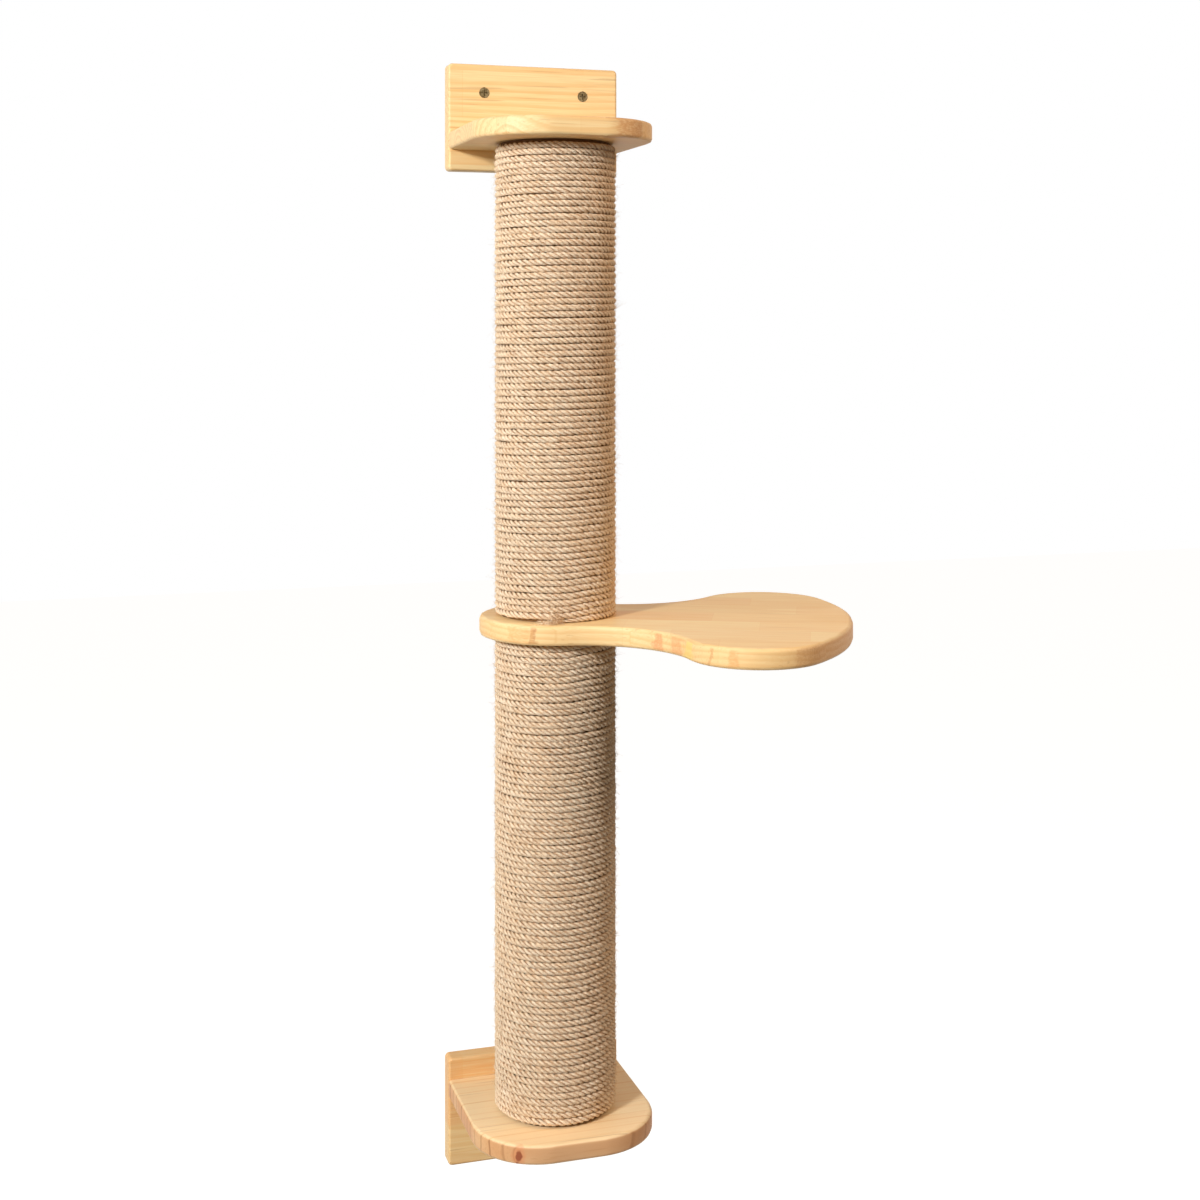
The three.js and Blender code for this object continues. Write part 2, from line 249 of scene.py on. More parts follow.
PINE_PALE = linear(248, 232, 182)
PINE_MAIN = linear(244, 218, 164)
PINE_LATE = linear(232, 184, 116)
PINE_WARM = linear(246, 200, 136)
PINE_END = linear(240, 208, 156)
PINE_END_LATE = linear(206, 158, 104)
PINE_PORE = linear(172, 124, 76)
PINE_ORANGE = linear(234, 170, 106)
PINE_RED = linear(222, 140, 92)
PINE_BROWN = linear(196, 130, 74)
KNOT = linear(140, 62, 34)

RING_STRETCH = 0.16  # how fast the rings wander along a board, as a share of that across it
FIBRE_STRETCH = 0.03  # the same for the fibres
RING_WANDER = 12 * MM  # how far the rings stray from true circles
STRIP_LEAN = 0.09  # how far, per metre of board, a strip's heart moves sideways
GLUE_LINE = 0.4 * MM
STAIN_AND_SHADE_BORDER = 2.5 * MM
STAIN_AND_SHADE_RAGGED = 12 * MM  # how far the ends of stains and of painted shade patches stray
GRAIN_RELIEF = 0.12 * MM


def board_axes(n, place, along, across, heading, centre):
    """Places along, across and through a board, and how squarely a face looks along and through."""
    through = next(axis for axis in "XYZ" if axis not in (along, across))

    def turned(vector):
        node = n.add("VectorRotate", vector, rotation_type="Z_AXIS")
        n.put(node.inputs["Angle"], -heading)
        return n.add("SeparateXYZ", node.outputs[0]).outputs

    parts = turned(n.vector("SUBTRACT", place.outputs["Object"], centre))
    faces = turned(place.outputs["Normal"])
    squareness = [n.math("ABSOLUTE", faces[axis]) for axis in (along, through)]
    return [parts[axis] for axis in (along, across, through)] + squareness


def late_wood(n, radius, ring, late_line):
    """The dark line in each growth ring, which is stronger in one ring than in the next."""
    count = n.math("DIVIDE", radius, ring)
    phase = n.math("FRACT", count)
    rise = n.span(phase, *late_line)
    fall = n.span(phase, late_line[1] + 0.02, 1.0, 1.0, 0.0)
    strength = n.span(n.random(n.math("FLOOR", count)), 0, 1, 0.25, 1.0, smooth=False)
    return n.math("MULTIPLY", n.math("MULTIPLY", rise, fall), strength)


def stained_and_shaded(n, color, stains_and_shades, length, width, cloudy, fibre, upright):
    """The colour with ragged patches in it, real stains and painted shade, no further than upright
    lets them.
    """
    stray = n.math("MULTIPLY", n.math("SUBTRACT", cloudy, 0.5), STAIN_AND_SHADE_RAGGED)
    ragged = n.math("ADD", length, stray)
    for low, high, near, far, stain_and_shade, amount in stains_and_shades:
        soft = min(STAIN_AND_SHADE_BORDER, (high - low) / 3)
        mask = n.math("MULTIPLY", n.span(ragged, low, low + soft), n.span(width, near, near + soft))
        mask = n.math("MULTIPLY", mask, n.span(ragged, high - soft, high, 1, 0))
        mask = n.math("MULTIPLY", mask, n.span(width, far - soft, far, 1, 0))
        mask = n.math("MULTIPLY", mask, n.span(fibre, 0.3, 0.6, 0.55 * amount, amount))
        color = n.mix(n.math("MULTIPLY", mask, upright), color, stain_and_shade)
    return color


def knotted(n, color, knots, place, cloudy):
    """The colour with dark, irregular knots in it, each in a reddish surround."""
    for middle, size in knots:
        gap = n.vector("SUBTRACT", place.outputs["Object"], middle)
        gap = n.vector("LENGTH", n.vector("MULTIPLY", gap, (1.5, 1.0, 0.8)))
        gap = n.math("ADD", gap, n.math("MULTIPLY", n.math("SUBTRACT", cloudy, 0.5), size * 3))
        color = n.mix(n.span(gap, size * 0.9, size * 2.6, 0.5, 0.0), color, PINE_RED)
        color = n.mix(n.span(gap, size * 0.5, size * 1.1, 0.85, 0.0), color, KNOT)
    return color


def pine(
    name,
    along,
    across,
    seed,
    glued_at=0.0,
    lamella=0.045,
    ring=0.0056,
    heading=0.0,
    centre=(0, 0, 0),
    heart=None,
    joint_at=0.0,
    block=0.19,
    late_line=(0.2, 0.8),
    late_share=0.62,
    tone=None,
    edge=None,
    edge_line=PINE_BROWN,
    stains_and_shades=(),
    knots=(),
):
    """Edge-glued pine. along and across name the board's axes, turned by heading about centre.

    Each glued strip has its own heart, so its growth rings run as lines on the faces, bend into
    arches where they come up to the surface, and close into arcs on the ends. Strips meet at
    glued_at and every lamella from there, and each is made of blocks that meet at joint_at in the
    strip next to glued_at. heart=(side, deep) makes it one board instead. tone=(colour, amount)
    tints the whole board and edge=(colour, amount) its edges. Each patch, a stain or painted shade,
    is (along from, to, across from, to, colour, amount) and keeps to the edges where these are
    tinted.
    """
    material, n = new_material(name)
    place = n.add("TexCoord")
    axes = board_axes(n, place, along, across, heading, centre)
    length, width, depth, along_face, broad_face = axes

    from_glue = n.math("SUBTRACT", width, glued_at)
    strip = n.math("FLOOR", n.math("DIVIDE", from_glue, lamella))
    chance = [n.random(n.math("ADD", strip, seed + k * 17.3)) for k in range(4)]
    strip_middle = n.math("MULTIPLY", n.math("ADD", strip, 0.5), lamella)
    inside = n.math("SUBTRACT", from_glue, strip_middle)
    blocks = n.math("DIVIDE", n.math("SUBTRACT", length, joint_at), block)
    blocks = n.math("ADD", blocks, n.math("MULTIPLY", n.math("ADD", strip, 1.0), 0.37))
    block_seed = n.math("ADD", n.math("MULTIPLY", strip, 13.7), seed)
    block_seed = n.math("ADD", n.math("MULTIPLY", n.math("FLOOR", blocks), 7.13), block_seed)
    tint = n.random(block_seed)

    drawn = n.add("CombineXYZ", n.math("MULTIPLY", length, RING_STRETCH), inside, depth)
    offset = n.add("CombineXYZ", n.math("MULTIPLY", chance[0], 3.0), seed, chance[1])
    shifted = n.vector("ADD", drawn.outputs[0], offset.outputs[0])
    wander = n.noise(shifted, 26.0, detail=3.0, roughness=0.45)
    lean = n.math("MULTIPLY", n.math("SUBTRACT", chance[3], 0.5), STRIP_LEAN)
    if heart is None:
        heart_side = n.math("MULTIPLY", n.math("SUBTRACT", chance[1], 0.5), lamella * 1.5)
        side = n.math("SUBTRACT", inside, heart_side)
        side = n.math("ADD", side, n.math("MULTIPLY", length, lean))
        deep = n.math("ADD", depth, n.span(chance[2], 0, 1, 0.028, 0.07, smooth=False))
    else:
        side = n.math("SUBTRACT", width, heart[0])
        deep = n.math("SUBTRACT", depth, heart[1])
    radius = n.math("SQRT", n.math("ADD", n.math("POWER", side, 2.0), n.math("POWER", deep, 2.0)))
    stray = n.math("MULTIPLY", n.math("SUBTRACT", wander, 0.5), RING_WANDER)
    radius = n.math("ADD", radius, stray)
    for middle, size in knots:
        gap = n.vector("DISTANCE", place.outputs["Object"], middle)
        swell = n.span(gap, size * 0.6, size * 3.2, 1.0, 0.0)
        radius = n.math("ADD", radius, n.math("MULTIPLY", swell, size * 1.4))
    late = late_wood(n, radius, ring, late_line)

    stretched = n.add("CombineXYZ", n.math("MULTIPLY", length, FIBRE_STRETCH), width, depth)
    fibre = n.noise(stretched.outputs[0], 900.0, detail=2.0)
    dashes = n.noise(stretched.outputs[0], 420.0, detail=1.0, roughness=0.3)
    dashes = n.span(dashes, 0.66, 0.76)
    cloud = n.noise(drawn.outputs[0], 11.0, detail=2.0)
    cloud = n.span(cloud, 0.35, 0.7)
    cloudy = n.noise(place.outputs["Object"], 130.0, detail=2.0)

    color = n.mix(n.span(fibre, 0.3, 0.7), PINE_PALE, PINE_MAIN)
    warmth = n.math("ADD", n.math("MULTIPLY", cloud, 0.35), n.math("MULTIPLY", chance[0], 0.3))
    color = n.mix(warmth, color, PINE_WARM)
    if heart is None:
        color = n.mix(n.span(tint, 0.3, 1.0, 0.0, 0.22), color, PINE_ORANGE)
    if tone is not None:
        color = n.mix(tone[1], color, tone[0])
    color = n.mix(n.math("MULTIPLY", late, late_share), color, PINE_LATE)
    color = n.mix(n.math("MULTIPLY", dashes, 0.3), color, PINE_PORE)

    end = n.span(along_face, 0.35, 0.8)
    squat = n.add("CombineXYZ", length, width, n.math("MULTIPLY", depth, 0.45))
    pores = n.noise(squat.outputs[0], 760.0, detail=1.0)
    pores = n.span(pores, 0.58, 0.66)
    end_color = n.mix(n.math("MULTIPLY", pores, 0.42), PINE_END, PINE_PORE)
    end_color = n.mix(n.math("MULTIPLY", late, 0.45), end_color, PINE_END_LATE)
    color = n.mix(n.math("MULTIPLY", end, 0.75), color, end_color)
    upright = 1.0
    if edge is not None:
        upright = n.span(broad_face, 0.3, 0.75, 1.0, 0.0)
        tinted = n.math("MULTIPLY", upright, edge[1])
        cloudier = n.math("MULTIPLY", tinted, n.span(wander, 0.3, 0.6, 0.6, 1.0))
        color = n.mix(cloudier, color, edge[0])
        color = n.mix(n.math("MULTIPLY", n.math("MULTIPLY", tinted, late), 0.9), color, edge_line)
    color = stained_and_shaded(n, color, stains_and_shades, length, width, cloudy, fibre, upright)

    if heart is None:
        seam = n.math("ABSOLUTE", n.math("SUBTRACT", n.math("ABSOLUTE", inside), lamella / 2))
        joint = n.math("SUBTRACT", n.math("FRACT", n.math("ADD", blocks, 0.5)), 0.5)
        joint = n.math("MULTIPLY", n.math("ABSOLUTE", joint), block)
        seam = n.span(n.math("MINIMUM", seam, joint), 0.0, GLUE_LINE, 1.0, 0.0)
        color = n.mix(n.math("MULTIPLY", seam, 0.35), color, PINE_LATE)
    color = knotted(n, color, knots, place, cloudy)

    grain = n.math("ADD", n.math("MULTIPLY", late, 0.6), n.math("MULTIPLY", fibre, 0.5))
    relief = bump(n, grain, GRAIN_RELIEF, 0.5)
    roughness = n.span(fibre, 0.2, 0.8, 0.44, 0.6, smooth=False)
    n.finish(principled(n, color, roughness, relief, specular=0.35).outputs[0])
    return material


# ---------------------------------------------------------------- metals and cardboard


def metal(name, base, worn, smoothest, roughest):
    """Plated or blackened steel: cloudy colour, and rougher and smoother spots."""
    material, n = new_material(name)
    place = n.add("TexCoord").outputs["Object"]
    cloud = n.noise(place, 420.0, detail=4.0, roughness=0.6)
    scratches = n.noise(place, 2600.0, detail=2.0)
    color = n.mix(n.span(cloud, 0.35, 0.7), base, worn)
    roughness = n.span(scratches, 0.3, 0.7, smoothest, roughest, smooth=False)
    relief = bump(n, scratches, 0.03 * MM, 0.5)
    n.finish(principled(n, color, roughness, relief, metallic=1.0).outputs[0])
    return material


PAPER_STRIP = 90 * MM  # how far the tube's seam climbs in one turn
PAPER_SEAM = 0.008  # half the seam's width, as a share of that


def cardboard():
    """A spiral-wound tube: long seams round it, and short fibres in the paper."""
    material, n = new_material("cardboard")
    place = n.add("TexCoord").outputs["Object"]
    parts = n.add("SeparateXYZ", place)
    around = n.math("ARCTAN2", n.math("SUBTRACT", parts.outputs["Y"], COLUMN_Y), parts.outputs["X"])
    climb = n.math("DIVIDE", parts.outputs["Z"], PAPER_STRIP)
    climb = n.math("ADD", climb, n.math("DIVIDE", around, math.tau))
    off_seam = n.math("ABSOLUTE", n.math("SUBTRACT", n.math("FRACT", climb), 0.5))
    seam = n.span(off_seam, 0.0, PAPER_SEAM, 1.0, 0.0)
    fibres = n.noise(place, 700.0, detail=4.0, roughness=0.65)
    color = n.mix(n.span(fibres, 0.3, 0.7), linear(146, 108, 70), linear(118, 84, 50))
    color = n.mix(n.math("MULTIPLY", seam, 0.6), color, linear(82, 56, 32))
    relief = bump(n, n.math("SUBTRACT", fibres, seam), 0.1 * MM, 0.6)
    n.finish(principled(n, color, 0.85, relief, specular=0.2).outputs[0])
    return material


# ---------------------------------------------------------------- rope

ROPE_THICKNESS = 6 * MM
STRANDS = 3
LAY_LENGTH = 17.6 * MM  # along the rope, for one full turn of its strands
STRAND_RADIUS = 1.52 * MM
STRAND_OFFSET = 1.62 * MM  # of a strand's middle from the rope's
TIGHT_SHARE = 0.9  # how thick the taut rope is off the tube, as a share of its width
STEPS_PER_TURN = 175
LUMP_LENGTH = 2.6 * MM
END_TURNS = 10.0  # how soon the flat lie of the end turns fades
SQUASH = 0.42  # what is left of the rope's height at its flattened end
SQUASHED_TURN = 0.1  # how much of a turn the flattened end takes
CLOSING_START = 0.55  # where the first turn starts to climb onto the flattened end
PROFILE_DEG = (0, 35, 75, 125, 180, -125, -75, -35)  # a strand's corners, from its outer side
LONG_LOOSE, SHORT_LOOSE = (0.55, 50 * MM), (0.22, 13 * MM)  # radians the lay strays, over a length
TURN_SLIP, TURN_LIFT = 0.2 * MM, 0.16 * MM  # how far turns stray up or down, and off the tube
STRAY_OUT, STRAY_BESIDE = 0.1 * MM, 0.14 * MM  # how far a strand strays in the rope
SHORT_LUMPS, LONG_LUMPS, MOST_LUMP = 0.1, 0.05, 0.18  # shares of a strand's radius
PROFILE_SPREAD = 0.045  # how far a strand's corners stray, as a share of its radius
SPREAD_LENGTH = 6 * MM  # how far from the rope's first end its strands still part
SPREAD_SHARE, SPREAD_LIFT = 0.5, 0.4 * MM  # how far they part, and rise off the tube
HAIRS, FRAYED_HAIRS, FRAYED_YARNS = 12000, 150, 16
SHORTEST_HAIR, LONGEST_HAIR = 2 * MM, 9 * MM
HAIR_RADII, YARN_RADII = (0.06, 0.13), (0.6, 1.0)  # least and most, in millimetres
HAIR_RINGS, HAIR_SIDES = 4, 4
HAIR_CLEARANCE = 0.2 * MM  # from the boards
ROW_MARGIN = 0.06  # of a row of the unwound map, left empty on both sides

tube_low, tube_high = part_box("upper_tube")
COLUMN_Y = (tube_low.y + tube_high.y) / 2
TUBE_RADIUS = (tube_high.x - tube_low.x) / 2
WIND_RADIUS = TUBE_RADIUS + ROPE_THICKNESS / 2


def ramp(value):
    """0 to 1 with a soft start and end, held outside."""
    held = np.clip(value, 0, 1)
    return held * held * (3 - 2 * held)


def lie(turn):
    """How far, in turns, the end of a winding lies from the even climb, seen from its end.

    The end is flattened on the board. The first turn lies on the board too and closes onto the
    flattened end, and each turn lies on the one before, until the climb evens out.
    """
    whole, part = np.divmod(turn, 1.0)
    closing = SQUASH * ramp((part - CLOSING_START) / (1 - CLOSING_START))
    below = SQUASH + (1 - SQUASH) * ramp(part / SQUASHED_TURN) + whole - 1
    even = turn - 0.5
    return np.exp(-turn / END_TURNS) * (closing + np.where(whole < 1, 0, below) - even)


def rope_axis(low, high, turns, start_deg, seed):
    """Points of the rope's middle, with its turn and angle at each, between its lowest and highest.

    low and high are the heights that the rope's ends rest on.
    """
    random = np.random.default_rng(seed)
    count = int(round(turns * STEPS_PER_TURN))
    turn = np.linspace(0, turns, count + 1)
    climbed = turn - 0.5 + lie(turn) - lie(turns - turn)
    angle = math.radians(start_deg) + turn * math.tau
    bottom, top = low + ROPE_THICKNESS / 2, high - ROPE_THICKNESS / 2
    z = bottom + (top - bottom) * climbed / (turns - 1)
    fade = np.clip(np.minimum(turn, turns - turn) / 2, 0, 1)
    knots = random.normal(0, 1, (2, int(turns * 7) + 8))
    spots = np.linspace(0, knots.shape[1] - 1.001, count + 1)
    slip = np.interp(spots, np.arange(knots.shape[1]), knots[0])
    lift = np.interp(spots, np.arange(knots.shape[1]), knots[1])
    z = z + fade * np.clip(slip, -2, 2) * TURN_SLIP
    radius = WIND_RADIUS + np.clip(lift, -1, 2) * TURN_LIFT
    points = np.stack([radius * np.cos(angle), COLUMN_Y + radius * np.sin(angle), z], 1)
    return points, turn, angle


def unit(vectors):
    return vectors / np.linalg.norm(vectors, axis=-1, keepdims=True)


def wander(run, step, seed):
    """Smooth random values along the rope, about 1 large, that change over each step of it."""
    values = np.random.default_rng(seed).normal(0, 1, int(run[-1] / step) + 3)
    return np.interp(run / step, np.arange(len(values)), values)


def lay_angles(points, seed):
    """The rope's length up to each point, and how far its strands have turned there."""
    gaps = np.linalg.norm(np.diff(points, axis=0), axis=1)
    run = np.concatenate([[0], np.cumsum(gaps)])
    loose = LONG_LOOSE[0] * wander(run, LONG_LOOSE[1], seed)
    loose += SHORT_LOOSE[0] * wander(run, SHORT_LOOSE[1], seed + 1)
    return run, run / LAY_LENGTH * math.tau + loose


def flatten(rings, turn, low, high):
    """Presses both ends of the rope flat against the board that they lie on."""
    left = SQUASH + (1 - SQUASH) * ramp(turn / SQUASHED_TURN)
    rings[..., 2] = low + (rings[..., 2] - low) * left[:, None]
    left = SQUASH + (1 - SQUASH) * ramp((turn[-1] - turn) / SQUASHED_TURN)
    rings[..., 2] = high - (high - rings[..., 2]) * left[:, None]


def rope_frame(points, angle):
    """Along the rope, out from the column and beside both, at each point of the rope."""
    radial = np.stack([np.cos(angle), np.sin(angle), np.zeros_like(angle)], 1)
    tangent = unit(np.gradient(points, axis=0))
    beside = unit(np.cross(tangent, radial))
    return tangent, np.cross(beside, tangent), beside


def strand_rings(points, sides, turned, run, number, seed):
    """The corners of one strand, in a ring of them round each point of its middle."""
    _, outward, beside = sides
    phase = (turned + number * math.tau / STRANDS)[:, None]
    away = np.cos(phase) * outward + np.sin(phase) * beside
    parted = np.exp(-run / SPREAD_LENGTH)[:, None]
    centre = points + away * STRAND_OFFSET * (1 + SPREAD_SHARE * parted)
    centre += outward * parted * SPREAD_LIFT
    centre += STRAY_OUT * np.clip(wander(run, LUMP_LENGTH, seed + 5), -2, 2)[:, None] * outward
    centre += STRAY_BESIDE * np.clip(wander(run, LUMP_LENGTH, seed + 6), -2, 2)[:, None] * beside
    lumps = SHORT_LUMPS * wander(run, LUMP_LENGTH, seed)
    lumps += LONG_LUMPS * wander(run, LUMP_LENGTH * 4, seed + 10)
    lumps = np.clip(lumps, -MOST_LUMP, MOST_LUMP)
    angles = np.radians(PROFILE_DEG)[None, :]
    radii = STRAND_RADIUS * (1 + lumps)[:, None] * np.ones_like(angles)
    radii = radii * (1 + np.random.default_rng(seed + 20).normal(0, PROFILE_SPREAD, radii.shape))
    tangent = unit(np.gradient(centre, axis=0))
    side = unit(np.cross(tangent, away))
    out = np.cross(side, tangent)
    rings = (
        centre[:, None, :]
        + (radii * np.cos(angles))[..., None] * out[:, None, :]
        + (radii * np.sin(angles))[..., None] * side[:, None, :]
    )
    high = ((rings - points[:, None]) * outward[:, None]).sum(-1, keepdims=True)
    return rings - (1 - TIGHT_SHARE) * high * outward[:, None]


def loose_hairs(points, sides, seed):
    """Hairs all over the winding, along its strands more or less: roots, ways, bends and radii."""
    random = np.random.default_rng(seed)
    spots = random.integers(STEPS_PER_TURN, len(points) - STEPS_PER_TURN, HAIRS)
    along, outward, beside = (side[spots] for side in sides)
    place, swing = (random.normal(0, spread, (HAIRS, 1)) for spread in (0.7, 0.6))
    place = np.clip(place, -1.3, 1.3)
    off = np.cos(place) * outward + np.sin(place) * beside
    over = np.cos(place) * beside - np.sin(place) * outward
    length = np.minimum(random.gamma(3.0, 1.3 * MM, (HAIRS, 1)) + SHORTEST_HAIR, LONGEST_HAIR)
    way = random.choice((-1, 1), (HAIRS, 1)) * np.cos(swing) * along + np.sin(swing) * over
    lean = random.uniform(0.04, 0.45, (HAIRS, 1))
    curl = random.normal(0, 0.25, (HAIRS, 3))
    roots = points[spots] + off * (STRAND_OFFSET + 0.7 * STRAND_RADIUS)
    radii = random.uniform(*HAIR_RADII, HAIRS) * MM
    return roots, unit(way + lean * off) * length, (curl - 0.3 * lean * off) * length, radii


def frayed_hairs(points, sides, seed):
    """The fibres and yarns that fan out past the rope's end: roots, ways, bends and radii."""
    random = np.random.default_rng(seed)
    along, outward, beside = (side[0] for side in sides)
    count = FRAYED_HAIRS + FRAYED_YARNS
    sideways, upward, back = random.uniform(-1, 1, (3, count, 1))
    offset = 2.2 * sideways * outward + 1.6 * upward * beside + (2 + 2 * back) * along
    roots = points[0] + offset * MM
    fan = 0.35 + 0.35 * sideways + random.normal(0, 0.3, (count, 1))
    lift = 0.25 + 0.4 * upward + random.normal(0, 0.25, (count, 1))
    length = random.uniform(8 * MM, 22 * MM, (count, 1))
    curl = random.normal(0, 0.35, (count, 3)) - 0.1 * beside
    way = unit(fan * outward + lift * beside - along)
    radii = random.gamma(4.0, 0.05, count) * MM
    radii[:FRAYED_YARNS] = random.uniform(*YARN_RADII, FRAYED_YARNS) * MM
    length[:FRAYED_YARNS] *= 0.8
    return roots, way * length, curl * length, radii


def hair_rings(hairs, low, high):
    """The corners of thin tapered hairs. Each heads its way from its root and bends on."""
    roots, ways, bends, radii = hairs
    part = np.linspace(0, 1, HAIR_RINGS)[None, :, None]
    middle = roots[:, None] + ways[:, None] * part + bends[:, None] * part**2
    clear = HAIR_CLEARANCE + radii[:, None]
    middle[..., 2] = np.clip(middle[..., 2], low + clear, high - clear)
    tangent = unit(ways[:, None] + 2 * bends[:, None] * part)
    side = unit(np.cross(tangent, (0.31, 0.48, 0.82)))
    over = np.cross(tangent, side)
    width = (radii[:, None] * (1 - 0.6 * part[..., 0]))[..., None]
    rings = [
        middle + width * (math.cos(turn) * side + math.sin(turn) * over)
        for turn in np.arange(HAIR_SIDES) * math.tau / HAIR_SIDES
    ]
    return np.stack(rings, 2)


def tube_mesh(name, rings):
    """Closed tubes in one mesh. rings holds places by tube, ring along it and corner round it."""
    tubes, count, sides = rings.shape[:3]
    grid = np.arange(tubes * count * sides).reshape(tubes, count, sides)
    near, far = grid[:, :-1], grid[:, 1:]
    quads = np.stack([near, np.roll(near, -1, 2), np.roll(far, -1, 2), far], -1).reshape(-1, 4)
    caps = np.concatenate([grid[:, 0, ::-1], grid[:, -1]])
    corners = np.concatenate([quads.ravel(), caps.ravel()])
    starts = [np.arange(len(quads)) * 4, quads.size + np.arange(len(caps)) * sides]
    starts = np.concatenate(starts)
    mesh = bpy.data.meshes.new(name)
    mesh.vertices.add(grid.size)
    mesh.vertices.foreach_set("co", rings.reshape(-1).astype(np.float32))
    mesh.loops.add(len(corners))
    mesh.loops.foreach_set("vertex_index", corners.astype(np.int32))
    mesh.polygons.add(len(starts))
    mesh.polygons.foreach_set("loop_start", starts.astype(np.int32))
    mesh.polygons.foreach_set("use_smooth", np.ones(len(starts), bool))
    mesh.update(calc_edges=True)
    mesh.validate()
    return mesh


YARN_SLANT = 0.35  # how far the fibres turn round a strand, per length along it
YARN_STRETCH = 0.1  # how fast their streaks change along it, as a share of that round it
ROPE_RELIEF = 0.5 * MM


def rope_material():
    """Twisted plant fibre: pale crowns with fine streaks, and painted shade that turns the colour
    darker brown in the hollows.
    """
    material, n = new_material("rope")
    lay = n.add("UVMap", uv_map="lay").outputs[0]
    hollow_shade = n.add("Attribute", attribute_name="hollow_shade").outputs["Fac"]
    along, round_it, _ = n.add("SeparateXYZ", lay).outputs
    slanted = n.math("ADD", round_it, n.math("MULTIPLY", along, YARN_SLANT))
    streaks = n.add("CombineXYZ", n.math("MULTIPLY", along, YARN_STRETCH), slanted, 0.0)
    fine = n.noise(streaks.outputs[0], 3600.0, detail=3.0, roughness=0.6)
    broad = n.noise(streaks.outputs[0], 900.0, detail=2.0)
    place = n.add("TexCoord").outputs["Object"]
    patch = n.noise(place, 55.0, detail=3.0)
    speck = n.noise(place, 620.0, detail=3.0, roughness=0.6)
    color = n.mix(n.span(fine, 0.3, 0.72), linear(255, 245, 224), linear(244, 218, 184))
    color = n.mix(n.span(broad, 0.42, 0.7, 0.0, 0.6), color, linear(212, 172, 126))
    color = n.mix(n.span(patch, 0.4, 0.7, 0.0, 0.3), color, linear(240, 206, 164))
    color = n.mix(n.span(speck, 0.5, 0.72, 0.0, 0.55), color, linear(190, 146, 98))
    # painted shade: the deeper in the hollows, the darker brown the rope's colour
    deep = n.span(hollow_shade, 0.35, 0.95)
    color = n.mix(n.math("MULTIPLY", deep, 0.62), color, linear(190, 134, 82))
    relief = n.math("ADD", n.math("ADD", fine, broad), speck)
    relief = bump(n, relief, ROPE_RELIEF, 0.9)
    n.finish(principled(n, color, 0.9, relief, specular=0.15).outputs[0])
    return material


def hair_material():
    """Loose plant fibre, each one lighter or darker than the next."""
    material, n = new_material("rope_hair")
    place = n.add("TexCoord").outputs["Object"]
    shade = n.noise(place, 640.0, detail=2.0)
    along = n.noise(place, 3200.0)
    color = n.mix(n.span(shade, 0.35, 0.65), linear(255, 240, 214), linear(206, 164, 116))
    roughness = n.span(along, 0.3, 0.7, 0.7, 0.9, smooth=False)
    relief = bump(n, along, 0.05 * MM, 0.5)
    n.finish(principled(n, color, roughness, relief, specular=0.2).outputs[0])
    return material


def link_piece(mesh, name, prefix, material):
    """A piece of one column's rope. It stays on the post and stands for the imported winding."""
    piece = bpy.data.objects.new(name, mesh)
    bpy.context.scene.collection.objects.link(piece)
    mesh.materials.append(material)
    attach(piece, "post")
    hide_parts(f"{prefix}_rope_wrap")


def add_rope(prefix, low, high, turns, start_deg, seed, materials):
    """The rope on one column, as its three twisted strands and the fibres that stand off them."""
    points, turn, angle = rope_axis(low, high, turns, start_deg, seed)
    run, turned = lay_angles(points, seed + 1)
    sides = rope_frame(points, angle)
    for number in range(STRANDS):
        rings = strand_rings(points, sides, turned, run, number, seed + 10 + number)
        flatten(rings, turn, low, high)
        name = f"{prefix}_rope_strand_{number + 1}"
        mesh = tube_mesh(name, rings[None])
        add_rope_maps(mesh, rings, run, turns)
        link_piece(mesh, name, prefix, materials[0])
    flatten(points[:, None], turn, low, high)
    both = zip(loose_hairs(points, sides, seed + 50), frayed_hairs(points, sides, seed + 51))
    rings = hair_rings([np.concatenate(pair) for pair in both], low, high)
    name = f"{prefix}_rope_fibres"
    link_piece(tube_mesh(name, rings), name, prefix, materials[1])


def add_rope_maps(mesh, rings, run, turns):
    """The lay map in metres, the unwound map in rows of one turn, and how deep each point lies,
    which sets the rope's painted shade.
    """
    count, sides = rings.shape[:2]
    from_axis = np.hypot(rings[..., 0], rings[..., 1] - COLUMN_Y)
    deep = np.clip(1 - (from_axis - WIND_RADIUS) / (ROPE_THICKNESS / 2), 0, 1)
    beside = np.abs(np.radians(PROFILE_DEG)) / math.pi
    # painted shade: how much darker the rope is painted where it lies deep or faces the other
    # strands
    hollow_shade = np.clip(0.6 * deep + 1.1 * np.clip(beside - 0.1, 0, 1), 0, 1)
    mesh.attributes.new("hollow_shade", "FLOAT", "POINT").data.foreach_set(
        "value", hollow_shade.ravel().astype(np.float32)
    )
    step = np.repeat(np.arange(count - 1), sides)
    side = np.tile(np.arange(sides), count - 1)
    ends = np.stack([step, step + 1, step + 1, step], 1)
    rounds = np.stack([side, side, side + 1, side + 1], 1)
    total = len(mesh.loops)
    lay = np.zeros((total, 2))
    lay[: ends.size, 0] = run[ends].ravel()
    lay[: ends.size, 1] = (rounds / sides * math.tau * STRAND_RADIUS).ravel()
    mesh.uv_layers.new(name="lay").data.foreach_set("uv", lay.ravel().astype(np.float32))
    row = (step // STEPS_PER_TURN)[:, None]
    rows = math.ceil(turns) + 1
    flat = np.zeros((total, 2))
    flat[: ends.size, 0] = ((ends - row * STEPS_PER_TURN) / STEPS_PER_TURN).ravel()
    filled = ROW_MARGIN + (1 - 2 * ROW_MARGIN) * rounds / sides
    flat[: ends.size, 1] = ((row + filled) / rows).ravel()
    flat[ends.size :, 1] = (rows - 0.5) / rows
    mesh.uv_layers.new(name="OFBake").data.foreach_set("uv", flat.ravel().astype(np.float32))


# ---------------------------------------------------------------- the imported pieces


WELD_DISTANCE = 0.001 * MM
SMOOTH_EDGE_DEG = 50  # edges that bend less than this are shaded smooth


